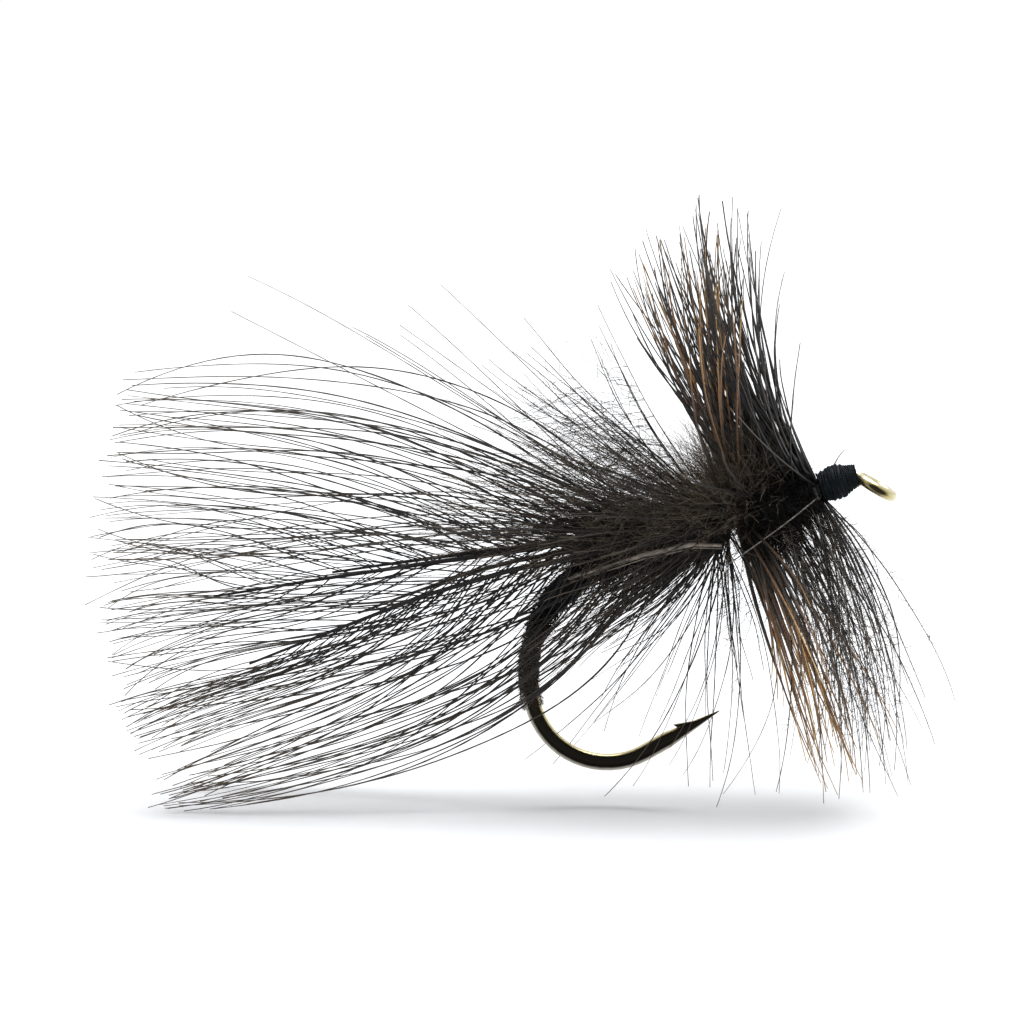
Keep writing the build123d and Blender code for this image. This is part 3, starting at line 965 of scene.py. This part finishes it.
def black_hackle():
    """The front hackle: its fibres bend upright at their tips, above and below."""
    rng = np.random.default_rng(21)
    count, rings = 250, 26
    clock = weighted_clock(count, rng, top=0.56, bottom=0.29, spread=28)
    below = belowness(clock)
    lean = np.where(below > 0.5, rng.normal(2, 8, count), rng.normal(4, 9, count))
    curl = np.cos(np.radians(clock)) * rng.normal(14, 6, count)
    length = np.maximum(11.6 - np.abs(rng.normal(0, 2.4, count)), 5)
    paths = hackle_paths("black_hackle_quill", clock, lean, curl, length, rings, 0.07, rng, behind=1.5)
    strands = Strands()
    lower = below > 0.6
    finer = (np.where(lower, 0.75, 1.28) * rng.uniform(0.75, 1.3, count))[:, None]
    radii = finer * taper(count, rings, root=0.04, middle=0.027, tip=0.012, rng=rng, beading=0.15)
    for part, v_range in ((~lower, (0.0, 0.95)), (lower, (0.2, 1.15))):
        cells = strands.tubes(paths[part], radii[part], v_range=v_range)
        barbules(strands, paths[part], cells, spacing=0.17, lengths=(0.26, 0.15), radius=0.007, rng=rng)
    wisps(
        strands, paths[lower],
        each=24, lengths=(0.25, 1.0), span=(0.08, 0.8), rng=rng, v_range=(0.7, 1.2),
    )
    strands.piece("black_hackle", BLACK_BARBS, "black_hackle", "black_hackle_barbs")


def brown_hackle():
    """Stiff amber and dark brown fibres, behind the black hackle and through it."""
    rng = np.random.default_rng(31)
    count, rings = 84, 26
    clock = weighted_clock(count, rng, top=0.46, bottom=0.5, spread=24)
    below = belowness(clock)
    lean = np.where(below > 0.5, rng.normal(-2, 5, count), rng.normal(-8, 7, count).clip(-15))
    curl = np.cos(np.radians(clock)) * rng.normal(5, 4, count)
    length = np.maximum(11.0 - np.abs(rng.normal(0, 2.0, count)), 5)
    paths = hackle_paths("brown_hackle_quill", clock, lean, curl, length, rings, 0.06, rng)
    strands = Strands()
    radii = taper(count, rings, root=0.06, middle=0.044, tip=0.014, rng=rng, beading=0.1)
    strands.tubes(paths, radii, sides=6, v_range=(0.1, 0.62))
    strands.piece("brown_hackle", BROWN_BARBS, "brown_hackle", "brown_hackle_barbs")


def rear_hackle():
    """A soft hackle: sparse above, dense and swept well back below."""
    rng = np.random.default_rng(41)
    groups = (
        # fibres, clock angle and its spread, lean and its spread, curl and its spread, lengths, wisps
        (37, 0, 38, 32, 13, 6, 7, (6.0, 11.5), 18),
        (140, 180, 45, 72, 9, -4, 9, (4.0, 9.5), 0),
        (16, 180, 30, 44, 14, 0, 14, (8.0, 12.0), 0),
        (7, 180, 16, 17, 8, 0, 6, (9.0, 11.0), 0),
        (9, 180, 25, 5, 7, -8, 8, (4.5, 8.5), 16),
        (30, 90, 50, 58, 10, 2, 6, (4.0, 9.0), 0),
        (30, 270, 50, 58, 10, 2, 6, (4.0, 9.0), 0),
    )
    strands = Strands()
    rings = 26
    for count, clock, clock_spread, lean, lean_spread, curl, curl_spread, lengths, curly in groups:
        paths = hackle_paths(
            "rear_hackle_quill",
            rng.normal(clock, clock_spread, count),
            rng.normal(lean, lean_spread, count),
            rng.normal(curl, curl_spread, count),
            rng.uniform(*lengths, count),
            rings, waver=0.1, rng=rng,
        )
        radii = taper(count, rings, root=0.029, middle=0.021, tip=0.011, rng=rng, beading=0.2)
        cells = strands.tubes(paths, radii)
        barbules(strands, paths, cells, spacing=0.19, lengths=(0.22, 0.12), radius=0.007, rng=rng)
        if curly:
            reach, drift = ((1.5, 4.8), 1.6) if clock == 0 else ((0.5, 2.0), 0.8)
            wisps(strands, paths, curly, reach, (0.15, 0.75), rng, (0.6, 1.0), drift)
    strands.piece("rear_hackle", SOFT_BARBS, "soft_hackle", "rear_hackle_barbs")


# ---- long feathers ---------------------------------------


def tip_fall(height):
    """Degrees below level at which a feather's barbs end, by their height above the table."""
    return np.interp(height, [0.0, 1.0, 3.5, 7.0, 11.0, 16.0], [6, 22, 27, 14, 4, -1])


def feather_side(quill, tips, angles, count, crossing, rng):
    """Starts, first directions and ends of the barbs on one side, from the quill's base to its tip."""
    share = np.sort((np.arange(count) + rng.uniform(-0.3, 1.3, count)) / count).clip(0, 1)
    last_barb = 0.9
    starts, tangent = points_along(quill[None], share[None, :] ** 1.25 * last_barb)
    starts, tangent = starts[0], tangent[0]
    places = np.linspace(0, 1, len(tips))
    ends = np.stack([np.interp(share, places, [tip[axis] for tip in tips]) for axis in (0, 1)], 1)
    ends = np.stack([ends[:, 0], np.zeros(count), ends[:, 1]], 1)
    ends[:, 0] += rng.exponential(0.6, count) + 0.1
    ends[:, 2] = np.maximum(ends[:, 2] + rng.normal(0, 0.4, count), rng.uniform(0.05, 0.35, count))
    turn = np.radians(np.interp(share, [0, 1], angles) + rng.normal(0, crossing, count))
    sin, cos = np.sin(turn), np.cos(turn)
    first = [
        tangent[:, 0] * cos + tangent[:, 2] * sin,
        tangent[:, 1] + rng.normal(0, 0.05, count),
        tangent[:, 2] * cos - tangent[:, 0] * sin,
    ]
    return starts, unit(np.stack(first, 1)), ends


def side_of_plane(node):
    """The sideways place of a feather's flat vane at each x."""
    low, high = node_box(node)
    near, far = (high[1], low[1]) if high[1] <= 0 else (low[1], high[1])
    return lambda x: np.interp(x, [low[0], high[0]], [far, near])


def feather(side, height, sides, counts, crossing, seed):
    """One long feather: its quill, and barbs with barbules on both sides."""
    rng = np.random.default_rng(seed)
    vane_node, quill_node = f"{side}_{height}_feather_vane", f"{side}_{height}_feather_quill"
    plane_y = side_of_plane(vane_node)
    points, bare = 60, 5
    whole = strand_line(quill_node, points)
    strands = Strands()
    rings = 40
    for (tips, angles), count in zip(sides, counts):
        tips = [(WHOLE[0][0] + x, z) for x, z in tips]
        starts, first, ends = feather_side(whole[bare:], tips, angles, count, crossing, rng)
        ends[:, 1] = plane_y(ends[:, 0]) + rng.normal(0, 0.4, count)
        reach = np.linalg.norm(ends - starts, axis=1)[:, None]
        fall = np.radians(tip_fall(ends[:, 2]) + rng.normal(0, crossing, count))
        last = np.stack([-np.cos(fall), np.zeros(count), -np.sin(fall)], 1)
        paths = bezier(starts, first * reach * 0.36, last * reach * 0.42, ends, rings)
        paths += wavering(count, rings, 0.13 * reach[:, 0] / 15, rng)
        paths[:, :, 2] = np.maximum(paths[:, :, 2], 0.04)
        # barbs nearer the quill's tip are finer at their roots
        finer = 1 - np.linspace(0, 0.45, count)[:, None] * np.linspace(1, 0.3, rings)
        radii = finer * taper(count, rings, root=0.035, middle=0.029, tip=0.017, rng=rng, beading=0.2)
        cells = strands.tubes(paths, radii)
        barbules(
            strands, paths, cells,
            spacing=0.12, lengths=(0.12, 0.1), radius=0.0065, rng=rng, span=(0.14, 0.97),
        )
    if height == "upper":
        strays(strands, plane_y, rng)
    strands.piece(vane_node + "_barbs", BARBS, "black_feather", vane_node)
    stem = Strands()
    thickness = np.interp(np.linspace(0, 1, points), [0, 0.35, 1], [0.11, 0.105, 0.045])
    stem.tubes(whole[None], thickness[None], sides=8)
    stem.piece(quill_node + "_shaft", FEATHER_QUILL, "black_quill", quill_node)


def strays(strands, plane_y, rng):
    """A few long barbs that stand well above the rest."""
    count, rings = 4, 40
    ends = np.stack([rng.uniform(2.5, 15.0, count), np.zeros(count), rng.uniform(17.2, 20.2, count)], 1)
    ends[:, 0] += WHOLE[0][0]
    ends[:, 1] = plane_y(ends[:, 0]) + rng.normal(0, 0.8, count)
    start, end, _ = shape_of("wing_base_down")
    starts = on_wire(rng.uniform(start, end + 1.5, count), rng.normal(0, 20, count), radius=0.8)
    distance = np.linalg.norm(ends - starts, axis=1)[:, None]
    bow = rng.uniform(0.0, 0.05, (count, 1)) * distance
    pull = unit(ends - starts) * distance * 0.33 - bow * UP
    paths = bezier(starts, pull, pull, ends, rings)
    radii = taper(count, rings, root=0.028, middle=0.02, tip=0.012, rng=rng, beading=0.2)
    cells = strands.tubes(paths, radii)
    barbules(strands, paths, cells, spacing=0.14, lengths=(0.16, 0.1), radius=0.007, rng=rng)


# Where a feather's barbs end, from its base to its tip, as millimetres forward of the fly's
# rearmost point and above the table, with the angles at which they leave the quill.
UPPER_ABOVE = ([(1.6, 15.9), (1.0, 14.9), (0.6, 13.4), (0.3, 11.8), (0.1, 10.3), (0.2, 9.0)], (50, 16))
UPPER_BELOW = ([(1.6, 2.4), (1.0, 4.2), (0.5, 5.8), (0.3, 7.0), (0.3, 8.0)], (-42, -17))
LOWER_ABOVE = ([(0.2, 10.0), (0.2, 9.0), (0.3, 8.0), (0.6, 6.9), (0.9, 6.1)], (30, 18))
LOWER_BELOW = (
    [(4.6, 0.1), (2.8, 0.15), (2.7, 0.7), (2.4, 1.6), (1.9, 2.6), (1.5, 3.4), (1.2, 4.2)],
    (-60, -20),
)


def long_feathers():
    """Two feathers on each side, with how many barbs each has above and below its quill."""
    upper, lower = (UPPER_ABOVE, UPPER_BELOW), (LOWER_ABOVE, LOWER_BELOW)
    feather("right", "upper", upper, counts=(46, 30), crossing=10, seed=11)
    feather("right", "lower", lower, counts=(17, 54), crossing=6, seed=12)
    feather("left", "upper", upper, counts=(28, 12), crossing=10, seed=13)
    feather("left", "lower", lower, counts=(7, 34), crossing=6, seed=14)


# ---- studio ----------------------------------------------


def aim(away):
    """The rotation of a lamp or camera that looks back along this direction."""
    return Vector([float(part) for part in away]).to_track_quat("Z", "Y").to_euler()


def floor():
    """A wide pale floor."""
    half = 3.0
    corners = [(-half, -half, 0), (half, -half, 0), (half, half, 0), (-half, half, 0)]
    mesh = bpy.data.meshes.new("floor")
    mesh.from_pydata(corners, [], [(0, 1, 2, 3)])
    pale = Shading("pale_floor")
    noise = pale.noise(pale.node("ShaderNodeTexCoord", {})["Object"], 400.0)
    colour = pale.ramped(noise, [(0.2, (0.60, 0.61, 0.625)), (0.8, (0.62, 0.63, 0.645))])
    pale.surface({"Base Color": colour, "Roughness": 0.8, "Specular IOR Level": 0.1})
    mesh.materials.append(pale.material)
    placed("floor", mesh)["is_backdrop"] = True


def lights():
    """Even white light from all round, and a wide soft lamp overhead."""
    world = bpy.data.worlds.new("studio_air")
    world.use_nodes = True
    bpy.context.scene.world = world
    background = world.node_tree.nodes["Background"]
    background.inputs["Color"].default_value = (1.0, 1.0, 1.0, 1)
    background.inputs["Strength"].default_value = 1.02
    sun = bpy.data.lights.new("overhead_softbox", "SUN")
    sun.energy = 3.7
    sun.angle = math.radians(50)
    lamp = placed("overhead_softbox", sun)
    lamp.rotation_euler = aim((0.1, 0.15, 1.0))


def camera():
    """A long lens on the fly's right side, slightly above it."""
    data = bpy.data.cameras.new("camera")
    data.lens = 135
    data.clip_start = 0.001
    data.clip_end = 20
    distance = 0.146
    azimuth, elevation = math.radians(3), math.radians(7)
    level_part = math.cos(elevation)
    away = np.array([math.sin(azimuth) * level_part, -math.cos(azimuth) * level_part, math.sin(elevation)])
    framing = [0.30, 0, -0.45]
    target = (WHOLE[0] + WHOLE[1]) / 2 + framing
    holder = placed("camera", data)
    holder.location = target * MM + away * distance
    holder.rotation_euler = aim(away)
    bpy.context.scene.camera = holder
    bpy.context.scene.view_settings.view_transform = "Standard"


WHOLE = [np.array(corner) / MM for corner in cad_box]
floor()
lights()
camera()
hook()
thread_bed()
head()
lashing()
abdomen()
thorax()
wing_base()
trimmed_quill()
thread_end()
wound_quill("black_hackle_stem", "black_hackle_quill", BLACK_QUILL, "black_quill")
wound_quill("brown_hackle_stem", "brown_hackle_quill", BROWN_QUILL, "brown_quill")
wound_quill("rear_hackle_stem", "rear_hackle_quill", BLACK_QUILL, "black_quill")
black_hackle()
brown_hackle()
rear_hackle()
long_feathers()

sizes = {name: [[float(number) for number in corner] for corner in box] for name, box in (("cad", cad_box), ("visual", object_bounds()))}
